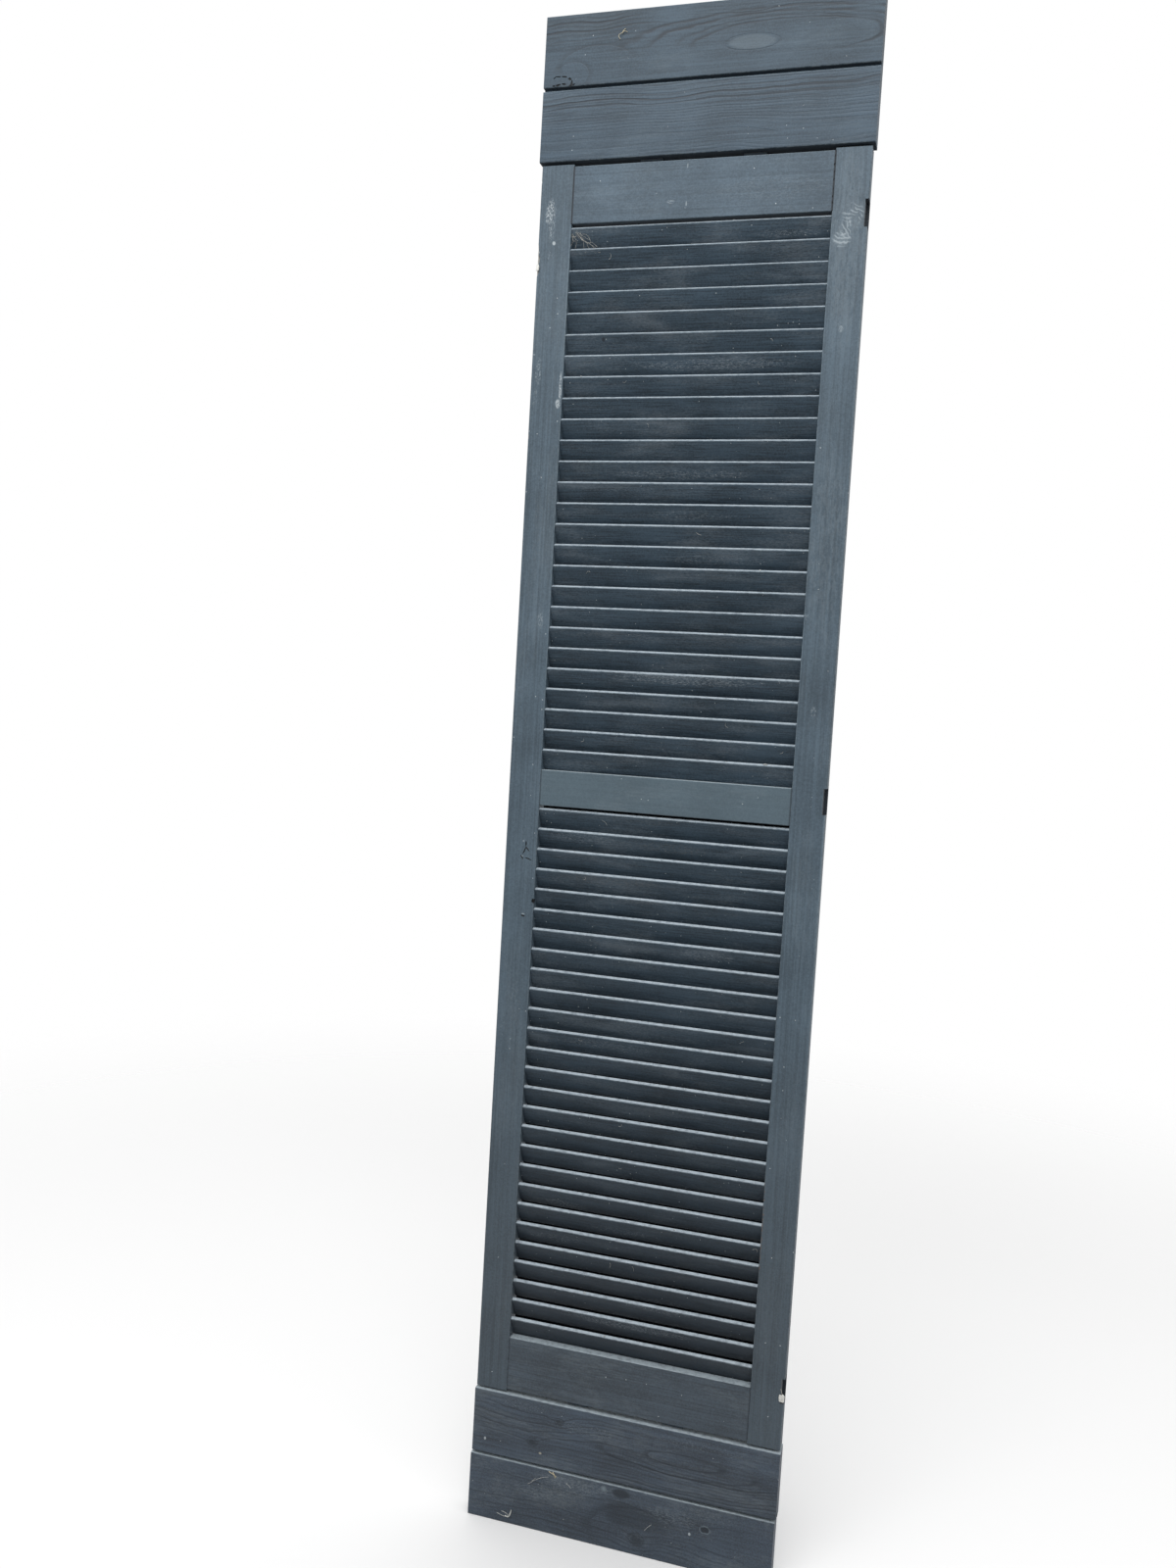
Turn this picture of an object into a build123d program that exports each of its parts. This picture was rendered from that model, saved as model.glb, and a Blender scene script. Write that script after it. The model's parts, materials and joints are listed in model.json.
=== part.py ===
from build123d import *
import os
from math import cos, radians, sin, tan

# A louvred shutter leaf: two stiles, three rails and two fields of fixed slanted slats.
# It is lengthened by two plain boards above the leaf and two below.
# Sizes are in millimetres. X runs to the right across the leaf, Y from the seen face
# to the hidden one, and Z up. The origin is at the middle of the lowest edge.

os.makedirs("parts", exist_ok=True)

# Leaf
leaf_width = 443.0
leaf_thickness = 22.0
stile_width = 46.0
stile_overrun = 2.5            # a stile's end past the rail's outer edge
top_rail_height = 76.5
mid_rail_height = 50.0
bottom_rail_height = 77.5
leaf_arris = 1.2               # rounding of the stiles' and rails' long edges

# Rail tenons
rail_tenon_thickness = 8.0
rail_tenon_length = 28.0
rail_tenon_shoulder = 8.0      # height taken off above and below the tenon

# Slats
upper_slats = 26
lower_slats = 27
slat_pitch = 28.5
slat_width = 33.5
slat_thickness = 6.0
slat_slope = 60.0              # degrees below the level, from the seen face backwards
slat_arris = 0.8               # planed off each long edge of a slat
first_slat_drop = 4.5          # from a rail down to the middle of the first slat's front edge
slat_tenon_width = 24.0
slat_tenon_thickness = 4.6
slat_tenon_length = 7.0
slat_rail_gap = 2.0            # air between the lowest slat and the bevel of the rail below

# Hinge gains in the right stile, each with two screw holes
gain_height = 35.0
gain_depth = 4.5
gain_lip = 3.0                 # wood left standing behind the gain
gain_from_end = 83.0           # from a stile's end to the middle of the outer gains
middle_gain_from_top = 839.5
screw_hole_radius = 1.5
screw_hole_depth = 11.0
screw_spacing = 20.0

# Boards
board_height = 94.0
board_thickness = 28.0
top_board_length = 450.0
bottom_board_length = 445.0
lowest_board_shift = -1.5      # the lowest board sits a little to the left
board_arris = 1.5
board_groove = 4.5             # shadow groove between two boards
board_groove_depth = 7.0
tongue_thickness = 8.0
tongue_height = 9.0
leaf_gap = 3.5                 # between a stile's end and the board next to it

# Loose tenons that join the boards to the leaf
loose_tenon_thickness = 8.0
loose_tenon_width = 30.0
loose_tenon_length = 50.0
rail_tenon_spread = 140.0      # between the two loose tenons in a rail

# Clearances
fit_clearance = 0.15           # each side of a tenon or tongue
end_clearance = 0.5            # past the end of a tenon or tongue
seat_clearance = 0.2           # between a slat's shoulder and the stile

# The slats of the lower field that are kept one by one; those below them are kept in pairs
single_lower_slats = 15

# Heights, worked out from the floor upwards
opening_width = leaf_width - 2 * stile_width
upper_opening = first_slat_drop + upper_slats * slat_pitch
lower_opening = first_slat_drop + lower_slats * slat_pitch
stile_base = 2 * board_height + board_groove + leaf_gap
bottom_rail_base = stile_base + stile_overrun
lower_opening_base = bottom_rail_base + bottom_rail_height
mid_rail_base = lower_opening_base + lower_opening
upper_opening_base = mid_rail_base + mid_rail_height
top_rail_base = upper_opening_base + upper_opening
stile_top = top_rail_base + top_rail_height + stile_overrun
stile_length = stile_top - stile_base
stile_x = (leaf_width - stile_width) / 2
slat_run = cos(radians(slat_slope))
slat_fall = sin(radians(slat_slope))


def block(size_x, size_y, size_z, x=0.0, y=0.0, z=0.0):
    """A box by its middle in x and y and its lowest z."""
    return Pos(x, y, z + size_z / 2) * Box(size_x, size_y, size_z)


def rounded_bar(size_x, size_y, size_z, along, radius):
    """A box about the origin whose edges along one axis are rounded."""
    bar = Box(size_x, size_y, size_z)
    return fillet(bar.edges().filter_by(along), radius)


def slat_place(edge_z):
    """The middle of a slat whose front edge has its middle at this height."""
    centre_z = edge_z - slat_width / 2 * slat_fall
    return Pos(0, 0, centre_z) * Rot(-slat_slope, 0, 0)


def slat_edges(opening_top, count):
    """Heights of the middle of each slat's front edge, from the top down."""
    return [opening_top - first_slat_drop - k * slat_pitch for k in range(count)]


def slat():
    """One slat about the origin, its width along y, with a tenon at each end."""
    body = Box(opening_width - 2 * seat_clearance, slat_width, slat_thickness)
    body = chamfer(body.edges().filter_by(Axis.X), slat_arris)
    tenon_span = opening_width + 2 * slat_tenon_length
    return body + Box(tenon_span, slat_tenon_width, slat_tenon_thickness)


def slat_slot():
    """What a slat's tenons take out of both stiles."""
    depth = slat_tenon_length + end_clearance
    width = slat_tenon_width + 2 * fit_clearance
    thickness = slat_tenon_thickness + 2 * fit_clearance
    return Box(opening_width + 2 * depth, width, thickness)


def rail_tenon(rail_base, rail_height, clearance, end):
    """The bar that holds both tenons of a rail, or the mortises cut for them."""
    height = rail_height - 2 * rail_tenon_shoulder + 2 * clearance
    length = opening_width + 2 * (rail_tenon_length + end)
    thickness = rail_tenon_thickness + 2 * clearance
    return block(length, thickness, height, z=rail_base + rail_tenon_shoulder - clearance)


def rail_bevel(rail_top):
    """What is taken off a rail's hidden upper edge, to clear the lowest slat."""
    below_rail = slat_width * slat_fall + slat_thickness / 2 * slat_run - slat_pitch
    corner_y = slat_width / 2 * slat_run - slat_thickness / 2 * slat_fall
    slope = tan(radians(slat_slope))
    start_y = corner_y - below_rail / slope - slat_rail_gap / slat_fall
    back_y = leaf_thickness / 2
    run = max(back_y - start_y, leaf_arris)
    profile = Polyline((back_y - run, 0), (back_y, 0), (back_y, -run * slope), close=True)
    wedge = extrude(Plane.YZ * make_face(profile), opening_width / 2, both=True)
    return Pos(0, 0, rail_top) * wedge


def rail(rail_base, rail_height, bevelled):
    """One rail with its two tenons."""
    middle = Pos(0, 0, rail_base + rail_height / 2)
    body = middle * rounded_bar(opening_width, leaf_thickness, rail_height, Axis.X, leaf_arris)
    if bevelled:
        body -= rail_bevel(rail_base + rail_height)
    return body + rail_tenon(rail_base, rail_height, 0, 0)


def loose_tenon_places():
    """Middles of the loose tenons: two in the stiles and two in the rail, at both ends."""
    across = (-stile_x, -rail_tenon_spread / 2, rail_tenon_spread / 2, stile_x)
    heights = (stile_base - leaf_gap / 2, stile_top + leaf_gap / 2)
    return [Pos(x, 0, z) for z in heights for x in across]


def loose_tenon_mortises():
    """What the loose tenons take out of the boards, rails and stiles."""
    mortise = Box(
        loose_tenon_width + 2 * fit_clearance,
        loose_tenon_thickness + 2 * fit_clearance,
        loose_tenon_length + 2 * end_clearance,
    )
    return [place * mortise for place in loose_tenon_places()]


def gain_heights():
    """Heights of the middles of the three hinge gains, from the lowest up."""
    return (stile_base + gain_from_end, stile_top - middle_gain_from_top, stile_top - gain_from_end)


def hinge_gains():
    """The shallow housings that the hinge leaves lay in, with their screw holes."""
    outer_x = leaf_width / 2
    floor_x = outer_x - gain_depth
    gain_reach = leaf_thickness - gain_lip
    gain_y = -gain_lip / 2
    cuts = []
    for z in gain_heights():
        cuts.append(Pos(outer_x, gain_y, z) * Box(2 * gain_depth, gain_reach, gain_height))
        for side in (-0.5, 0.5):
            drill = Cylinder(screw_hole_radius, 2 * screw_hole_depth)
            cuts.append(Pos(floor_x, gain_y, z + side * screw_spacing) * Rot(0, 90, 0) * drill)
    return cuts


def stile(side, cuts):
    """One stile, on the left for side -1 and on the right for side 1."""
    middle = Pos(side * stile_x, 0, stile_base + stile_length / 2)
    bar = middle * rounded_bar(stile_width, leaf_thickness, stile_length, Axis.Z, leaf_arris)
    return bar - cuts


def board(length, base_z, tongue_on_top, shift=0.0):
    """A board with a tongue on top, or with a groove for one underneath."""
    front = -board_thickness / 2
    back = board_thickness / 2
    tongue_front = front + board_groove_depth
    tongue_back = tongue_front + tongue_thickness
    outline = Rectangle(board_thickness, board_height)
    outline = fillet(outline.vertices(), board_arris)
    if tongue_on_top:
        tongue = Rectangle(tongue_thickness, 2 * tongue_height)
        outline += Pos((tongue_front + tongue_back) / 2, board_height / 2) * tongue
    else:
        # Behind the tongue a heel reaches down to the board below and closes the joint
        reach = board_groove - fit_clearance
        heel_front = tongue_back + fit_clearance
        heel = Rectangle(back - heel_front, reach + board_arris)
        heel_z = -board_height / 2 - (reach - board_arris) / 2
        outline += Pos((back + heel_front) / 2, heel_z) * heel
        socket_height = tongue_height - reach + end_clearance
        socket = Rectangle(tongue_thickness + 2 * fit_clearance, 2 * (socket_height + reach))
        outline -= Pos((tongue_front + tongue_back) / 2, -board_height / 2 - reach) * socket
    plank = extrude(Plane.YZ * outline, length / 2, both=True)
    return Pos(shift, 0, base_z + board_height / 2) * plank


def save(name, shape):
    """Write one piece, or a group of like pieces, under the name of its node."""
    shape.label = name
    export_step(shape, f"parts/{name}.step")


def main():
    upper_edges = slat_edges(top_rail_base, upper_slats)
    lower_edges = slat_edges(mid_rail_base, lower_slats)
    rails = (
        ("bottom_rail", bottom_rail_base, bottom_rail_height, True),
        ("mid_rail", mid_rail_base, mid_rail_height, True),
        ("top_rail", top_rail_base, top_rail_height, False),
    )
    end_mortises = loose_tenon_mortises()

    one_slot = slat_slot()
    slots = [slat_place(z) * one_slot for z in upper_edges + lower_edges]
    mortises = [rail_tenon(base, height, fit_clearance, end_clearance) for _, base, height, _ in rails]
    save("stile_left", stile(-1, slots + mortises + end_mortises))
    save("stile_right", stile(1, slots + mortises + end_mortises + hinge_gains()))

    for name, base, height, bevelled in rails:
        save(name, rail(base, height, bevelled) - end_mortises)

    one_slat = slat()
    for number, edge_z in enumerate(upper_edges, start=1):
        save(f"upper_slat_{number:02d}", slat_place(edge_z) * one_slat)
    for number, edge_z in enumerate(lower_edges[:single_lower_slats], start=1):
        save(f"lower_slat_{number:02d}", slat_place(edge_z) * one_slat)
    for first in range(single_lower_slats, lower_slats, 2):
        pair = [slat_place(edge_z) * one_slat for edge_z in lower_edges[first:first + 2]]
        save(f"lower_slats_{first + 1:02d}_{first + len(pair):02d}", Compound(children=pair))

    inner_base = board_height + board_groove
    upper_base = stile_top + leaf_gap
    outer_base = upper_base + board_height + board_groove
    save("bottom_board_outer", board(bottom_board_length, 0, True, lowest_board_shift))
    save("bottom_board_inner", board(bottom_board_length, inner_base, False) - end_mortises)
    save("top_board_inner", board(top_board_length, upper_base, True) - end_mortises)
    save("top_board_outer", board(top_board_length, outer_base, False))

    one_loose_tenon = Box(loose_tenon_width, loose_tenon_thickness, loose_tenon_length)
    tenons = [place * one_loose_tenon for place in loose_tenon_places()]
    save("loose_tenons", Compound(children=tenons))


main()
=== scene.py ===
import bmesh
import bpy
import json
import math
import random
from mathutils import Matrix, Vector, noise


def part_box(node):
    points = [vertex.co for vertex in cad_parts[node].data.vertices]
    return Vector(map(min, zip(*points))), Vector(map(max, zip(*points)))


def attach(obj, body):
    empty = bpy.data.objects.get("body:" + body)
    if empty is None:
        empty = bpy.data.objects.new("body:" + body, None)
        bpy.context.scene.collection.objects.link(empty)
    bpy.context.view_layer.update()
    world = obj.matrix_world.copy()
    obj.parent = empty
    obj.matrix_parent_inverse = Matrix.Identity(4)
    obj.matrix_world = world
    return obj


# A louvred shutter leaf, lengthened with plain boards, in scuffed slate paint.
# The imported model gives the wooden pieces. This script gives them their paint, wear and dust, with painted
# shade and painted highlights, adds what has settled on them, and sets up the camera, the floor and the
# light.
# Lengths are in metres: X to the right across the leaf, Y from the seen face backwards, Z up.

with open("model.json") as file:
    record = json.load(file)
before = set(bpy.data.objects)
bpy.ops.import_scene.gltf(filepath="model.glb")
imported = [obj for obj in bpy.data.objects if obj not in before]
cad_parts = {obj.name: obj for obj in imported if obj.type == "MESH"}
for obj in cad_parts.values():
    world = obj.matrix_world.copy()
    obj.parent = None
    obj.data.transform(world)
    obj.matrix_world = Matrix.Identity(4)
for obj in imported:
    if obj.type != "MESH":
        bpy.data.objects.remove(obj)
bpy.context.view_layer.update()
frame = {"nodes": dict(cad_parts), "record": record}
nodes = frame["nodes"]
slopeDegrees = 60             # the slats' slope below the level
print("frame loaded:", len(nodes), "pieces")


# Short ways to add objects and meshes

def addObject(name, data):
    added = bpy.data.objects.new(name, data)
    bpy.context.scene.collection.objects.link(added)
    return added


def keepMesh(name, mesh):
    data = bpy.data.meshes.new(name)
    mesh.to_mesh(data)
    mesh.free()
    return data


# Camera

cameraSettings = {
    "place": (0.3791, -1.6927, 1.2042),
    "forward": (-0.2764, 0.9586, -0.0680),
    "up": (-0.0746, 0.0491, 0.9960),
    "lens": 29.017,           # millimetres, for a long side of 36
    "longSide": 36,
}


def makeCamera(settings):
    forward = Vector(settings["forward"]).normalized()
    right = forward.cross(Vector(settings["up"])).normalized()
    turn = Matrix((right, right.cross(forward), -forward)).transposed().to_4x4()
    data = bpy.data.cameras.new("camera")
    data.lens = settings["lens"]
    data.sensor_width = settings["longSide"]
    camera = addObject("camera", data)
    camera.matrix_world = Matrix.Translation(settings["place"]) @ turn
    bpy.context.scene.camera = camera


makeCamera(cameraSettings)
print("camera placed")


# Short ways to place and join nodes

def feed(tree, socket, value):
    if isinstance(value, bpy.types.NodeSocket):
        tree.links.new(value, socket)
    else:
        socket.default_value = value


def put(tree, kind, inputs=None, **settings):
    node = tree.nodes.new(kind)
    for name, value in settings.items():
        setattr(node, name, value)
    for key, value in (inputs or {}).items():
        feed(tree, node.inputs[key], value)
    return node


def calc(tree, operation, *terms):
    return put(tree, "ShaderNodeMath", dict(enumerate(terms)), operation=operation).outputs["Value"]


def plus(tree, first, second):
    return calc(tree, "ADD", first, second)


def minus(tree, first, second):
    return calc(tree, "SUBTRACT", first, second)


def times(tree, first, second):
    return calc(tree, "MULTIPLY", first, second)


def calcVector(tree, operation, *terms):
    node = put(tree, "ShaderNodeVectorMath", dict(enumerate(terms)), operation=operation)
    return node.outputs["Value" if operation in ("LENGTH", "DOT_PRODUCT") else "Vector"]


def lengthOf(tree, vector):
    return calcVector(tree, "LENGTH", vector)


def partsOf(tree, vector):
    return put(tree, "ShaderNodeSeparateXYZ", {"Vector": vector}).outputs


def normalParts(tree):
    return partsOf(tree, put(tree, "ShaderNodeNewGeometry").outputs["Normal"])


def objectPoint(tree):
    return put(tree, "ShaderNodeTexCoord").outputs["Object"]


def fade(tree, value, start, end, low=0.0, high=1.0):
    inputs = {"Value": value, "From Min": start, "From Max": end, "To Min": low, "To Max": high}
    return put(tree, "ShaderNodeMapRange", inputs, interpolation_type="SMOOTHSTEP").outputs["Result"]


def fadeOut(tree, value, start, end):
    return fade(tree, value, start, end, low=1.0, high=0.0)


def mixColour(tree, share, first, second):
    return put(tree, "ShaderNodeMix", {0: share, 6: first, 7: second}, data_type="RGBA").outputs[2]


def layOver(tree, colour, mask, share, over):
    return mixColour(tree, times(tree, mask, share), colour, over)


def noiseValue(tree, point, scale, detail=2.0, roughness=0.5, distortion=0.0):
    inputs = {"Vector": point, "Scale": scale, "Detail": detail, "Roughness": roughness,
              "Distortion": distortion}
    return put(tree, "ShaderNodeTexNoise", inputs).outputs["Fac"]


def swing(tree, point, scale, detail=2.0, roughness=0.5):
    # Noise about zero
    return minus(tree, noiseValue(tree, point, scale, detail, roughness), 0.5)


def newMaterial(name):
    material = bpy.data.materials.new(name)
    material.use_nodes = True
    tree = material.node_tree
    return material, tree, tree.nodes["Principled BSDF"]


def raiseSurface(tree, shader, height, relief):
    bump = put(tree, "ShaderNodeBump", {"Height": height, "Strength": 1.0, "Distance": relief})
    feed(tree, shader.inputs["Normal"], bump.outputs["Normal"])


# Effects that several finishes share: each group takes the point on the piece first

atZero = (0.0, 0.0, 0.0)
asIs = (1.0, 1.0, 1.0)
smallReach = (0.01, 0.01, 0.01)
evenGrit = (400.0, 400.0, 400.0)
straightUp = (0.0, 0.0, 1.0)


def startGroup(name, **inputs):
    group = bpy.data.node_groups.new(name, "ShaderNodeTree")
    for label, start in {"Point": atZero, **inputs}.items():
        kind = "NodeSocketVector" if isinstance(start, tuple) else "NodeSocketFloat"
        group.interface.new_socket(label, in_out="INPUT", socket_type=kind).default_value = start
    given = group.nodes.new("NodeGroupInput").outputs
    return group, given["Point"], given


def endGroup(group, **outputs):
    for label in outputs:
        group.interface.new_socket(label, in_out="OUTPUT", socket_type="NodeSocketFloat")
    gives = group.nodes.new("NodeGroupOutput").inputs
    for label, value in outputs.items():
        feed(group, gives[label], value)
    return group


def place(tree, group, point, **inputs):
    return put(tree, "ShaderNodeGroup", {"Point": point, **inputs}, node_tree=group).outputs


def shareOfReach(group, point, given):
    away = calcVector(group, "SUBTRACT", point, given["Middle"])
    return calcVector(group, "DIVIDE", away, given["Reach"])


def makeGrainGroup():
    group, point, given = startGroup("woodGrain", Stretch=asIs)
    run = calcVector(group, "MULTIPLY", point, given["Stretch"])
    streak = noiseValue(group, run, 1.0, detail=4.0, roughness=0.6, distortion=0.3)
    return endGroup(group, Streak=streak, Fibre=noiseValue(group, run, 3.7, detail=3.0, roughness=0.7))


def makeCloudGroup():
    group, point, given = startGroup("cloudyPatch", Stretch=asIs, Fine=asIs)
    patches = calcVector(group, "MULTIPLY", point, given["Stretch"])
    broad = noiseValue(group, patches, 1.0, detail=2.0, roughness=0.5, distortion=0.4)
    streaks = calcVector(group, "MULTIPLY", point, given["Fine"])
    fine = noiseValue(group, streaks, 1.0, detail=5.0, roughness=0.75)
    both = plus(group, times(group, broad, 0.5), times(group, fine, 0.5))
    return endGroup(group, Mask=fade(group, both, 0.47, 0.68))


def makeSpeckGroup():
    group, point, given = startGroup("dustSpeck", Spacing=0.01, Share=0.3, Width=0.1)
    inputs = {"Vector": point, "Scale": calc(group, "DIVIDE", 1.0, given["Spacing"])}
    cells = put(group, "ShaderNodeTexVoronoi", inputs)
    draw = put(group, "ShaderNodeSeparateColor", {"Color": cells.outputs["Color"]}).outputs
    chosen = calc(group, "LESS_THAN", draw["Red"], given["Share"])
    radius = times(group, given["Width"], plus(group, draw["Green"], 0.3))
    inside = calc(group, "LESS_THAN", cells.outputs["Distance"], radius)
    return endGroup(group, Mask=times(group, chosen, inside))


def makeMarkGroup():
    group, point, given = startGroup("rubbedMark", Middle=atZero, Reach=smallReach, Grit=evenGrit, Fill=0.5)
    strokes = calcVector(group, "MULTIPLY", point, given["Grit"])
    distance = lengthOf(group, shareOfReach(group, point, given))
    whole = fadeOut(group, plus(group, distance, swing(group, strokes, 0.3)), 0.55, 1.0)
    limit = minus(group, 0.78, times(group, given["Fill"], 0.5))
    grit = noiseValue(group, strokes, 1.0, detail=4.0, roughness=0.7)
    broken = fade(group, grit, limit, plus(group, limit, 0.1))
    return endGroup(group, Mask=times(group, whole, broken), Whole=whole)


def makeScuffGroup():
    # Many thin strokes that curve about a hub, as a rough thing leaves that is dragged round
    group, point, given = startGroup("scuffStrokes", Middle=atZero, Reach=smallReach, Hub=atZero,
                                     Spacing=0.003, Fill=0.5)
    wander = swing(group, point, 90.0, detail=3.0)
    distance = lengthOf(group, shareOfReach(group, point, given))
    whole = fadeOut(group, plus(group, distance, wander), 0.6, 1.0)
    radius = lengthOf(group, calcVector(group, "SUBTRACT", point, given["Hub"]))
    radius = plus(group, radius, times(group, wander, 0.012))
    stroke = calc(group, "FRACT", calc(group, "DIVIDE", radius, given["Spacing"]))
    line = fade(group, calc(group, "ABSOLUTE", minus(group, stroke, 0.5)), 0.22, 0.40)
    limit = minus(group, 0.64, times(group, given["Fill"], 0.3))
    broken = fade(group, noiseValue(group, point, 90.0), limit, plus(group, limit, 0.12))
    haze = noiseValue(group, point, 900.0, detail=3.0, roughness=0.7)
    haze = fade(group, haze, 0.45, 0.7, low=0.04, high=0.3)
    marked = calc(group, "MAXIMUM", times(group, line, broken), haze)
    return endGroup(group, Mask=times(group, whole, marked))


def makeRingGroup():
    # One growth ring on a board's face: dark at the line, shading off outwards,
    # and open on one side if wanted
    group, point, given = startGroup("growthRing", Middle=atZero, Reach=(0.1, 1.0, 0.02),
                                     Towards=straightUp, Open=-1.0, Width=0.2)
    away = shareOfReach(group, point, given)
    ripple = calcVector(group, "MULTIPLY", point, (22.0, 22.0, 70.0))
    ripple = swing(group, ripple, 1.0, detail=3.0, roughness=0.6)
    past = minus(group, plus(group, lengthOf(group, away), times(group, ripple, 0.22)), 1.0)
    soft = fadeOut(group, past, 0.0, given["Width"])
    line = times(group, soft, fade(group, past, -0.05, 0.0))
    side = calcVector(group, "DOT_PRODUCT", calcVector(group, "NORMALIZE", away), given["Towards"])
    shown = fade(group, side, given["Open"], plus(group, given["Open"], 0.6))
    worn = fade(group, noiseValue(group, point, 30.0), 0.3, 0.6, low=0.45, high=1.0)
    line = times(group, times(group, line, shown), worn)
    return endGroup(group, Line=line, Inside=fadeOut(group, past, -0.25, -0.05))


def makeUnevenGroup():
    group, point, _ = startGroup("unevenPaint")
    broad = noiseValue(group, point, 11.0, detail=3.0, roughness=0.55)
    close = noiseValue(group, point, 420.0, detail=4.0, roughness=0.75)
    return endGroup(group, Tone=plus(group, times(group, broad, 0.4), times(group, close, 0.6)))


# Wear and painted highlight along the rounded arrises
def makeArrisGroup():
    # The cosine and sine are those of the slope of a slat, or 1 and 0 on upright pieces
    group, point, given = startGroup("rubbedArris", Cosine=1.0, Sine=0.0)
    cosine, sine = given["Cosine"], given["Sine"]
    facing = normalParts(group)
    along = minus(group, times(group, facing["Y"], cosine), times(group, facing["Z"], sine))
    across = plus(group, times(group, facing["Y"], sine), times(group, facing["Z"], cosine))
    sizes = [calc(group, "ABSOLUTE", part) for part in (facing["X"], along, across)]
    squarest = calc(group, "MAXIMUM", calc(group, "MAXIMUM", sizes[0], sizes[1]), sizes[2])
    slanted = fade(group, squarest, 0.99, 0.9)
    rubbed = fade(group, noiseValue(group, point, 120.0, detail=4.0, roughness=0.7), 0.38, 0.62)
    return endGroup(group, Mask=times(group, slanted, rubbed))


# Dust and painted highlight: faces that look upwards, the slats' front edges among them, turn towards the
# dust colour
def makeSettledGroup():
    group, point, _ = startGroup("settledDust")
    flat = fade(group, normalParts(group)["Z"], 0.62, 0.85)
    close = noiseValue(group, point, 150.0, detail=4.0, roughness=0.7)
    uneven = fade(group, close, 0.25, 0.6, low=0.45, high=1.0)
    return endGroup(group, Mask=times(group, flat, uneven))


def makeFigureGroup():
    # A plain-sawn board cuts the growth rings at a depth above their heart,
    # so they lie wide at the middle
    group, point, given = startGroup("boardFigure", Heart=atZero, Length=6.0, Depth=0.03, Pitch=0.003,
                                     Wander=0.006, Bend=0.0)
    away = partsOf(group, calcVector(group, "SUBTRACT", point, given["Heart"]))
    squeezed = calc(group, "DIVIDE", away["X"], given["Length"])
    sweep = swing(group, calcVector(group, "MULTIPLY", point, (6.0, 6.0, 9.0)), 1.0, detail=1.0)
    ripple = calcVector(group, "MULTIPLY", point, (24.0, 24.0, 90.0))
    ripple = swing(group, ripple, 1.0, detail=3.0, roughness=0.55)
    drift = plus(group, times(group, sweep, 4.0), times(group, ripple, 0.6))
    height = plus(group, away["Z"], times(group, drift, given["Wander"]))
    height = plus(group, height, given["Bend"])
    section = put(group, "ShaderNodeCombineXYZ", {"X": squeezed, "Y": given["Depth"], "Z": height})
    turns = calc(group, "DIVIDE", lengthOf(group, section.outputs["Vector"]), given["Pitch"])
    turn = calc(group, "FRACT", turns)
    line = times(group, fade(group, turn, 0.35, 0.9), fadeOut(group, turn, 0.92, 1.0))
    year = put(group, "ShaderNodeTexWhiteNoise", {"W": calc(group, "FLOOR", turns)}, noise_dimensions="1D")
    strength = fade(group, year.outputs["Value"], 0.1, 0.9, low=0.25, high=1.0)
    return endGroup(group, Line=times(group, line, strength))


def makeKnotGroup():
    group, point, given = startGroup("knot", Middle=atZero, Radius=0.006)
    away = calcVector(group, "SUBTRACT", point, given["Middle"])
    away = calcVector(group, "MULTIPLY", away, (0.75, 0.0, 1.0))
    distance = calc(group, "DIVIDE", lengthOf(group, away), given["Radius"])
    distance = plus(group, distance, swing(group, point, 160.0, detail=3.0, roughness=0.6))
    core = fadeOut(group, distance, 0.5, 1.0)
    rim = fadeOut(group, calc(group, "ABSOLUTE", minus(group, distance, 1.0)), 0.0, 0.3)
    bend = times(group, fadeOut(group, distance, 0.0, 4.0), given["Radius"])
    return endGroup(group, Core=core, Rim=rim, Bend=bend)


woodGrain = makeGrainGroup()
cloudyPatch = makeCloudGroup()
dustSpeck = makeSpeckGroup()
rubbedMark = makeMarkGroup()
scuffStrokes = makeScuffGroup()
growthRing = makeRingGroup()
unevenPaint = makeUnevenGroup()
rubbedArris = makeArrisGroup()
settledDust = makeSettledGroup()
boardFigure = makeFigureGroup()
knot = makeKnotGroup()
print("shared effects made")


# Paint

alongX = (5.0, 420.0, 420.0)
alongZ = (420.0, 420.0, 5.0)

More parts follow.
